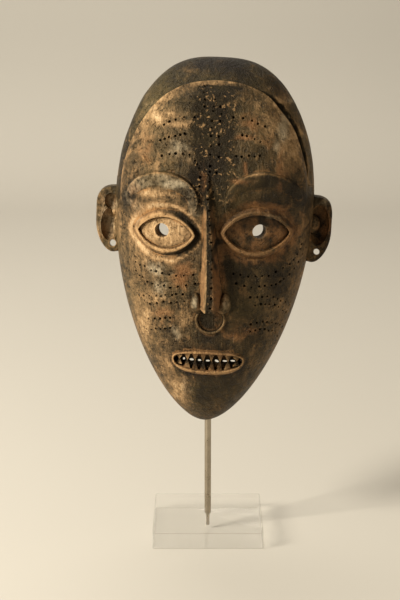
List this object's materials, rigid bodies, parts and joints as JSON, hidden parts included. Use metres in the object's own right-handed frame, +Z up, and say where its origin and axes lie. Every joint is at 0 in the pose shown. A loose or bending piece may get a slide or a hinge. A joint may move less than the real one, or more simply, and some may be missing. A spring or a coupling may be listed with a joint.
{
  "type": "mongo mask",
  "caption": "Carved wooden face mask with pierced eyes, filed teeth and ears, held up by a steel rod in a clear block.",
  "frame": {"origin": "middle of the clear block's underside, on the rod's axis", "axes": "+Z up along the rod, the face looks towards -Y, +X to the viewer's right"},
  "size_m": [0.2087, 0.1285, 0.4353],
  "materials": {
    "carved_wood": "dark brown-black patina, worn ochre and grey on the raised places",
    "polished_steel": "polished, faintly brushed along its length",
    "clear_acrylic": "clear, polished faces and edges"
  },
  "bodies": {
    "root": {"mask": "carved_wood", "rod": "polished_steel", "base": "clear_acrylic"}
  },
  "joints": []
}
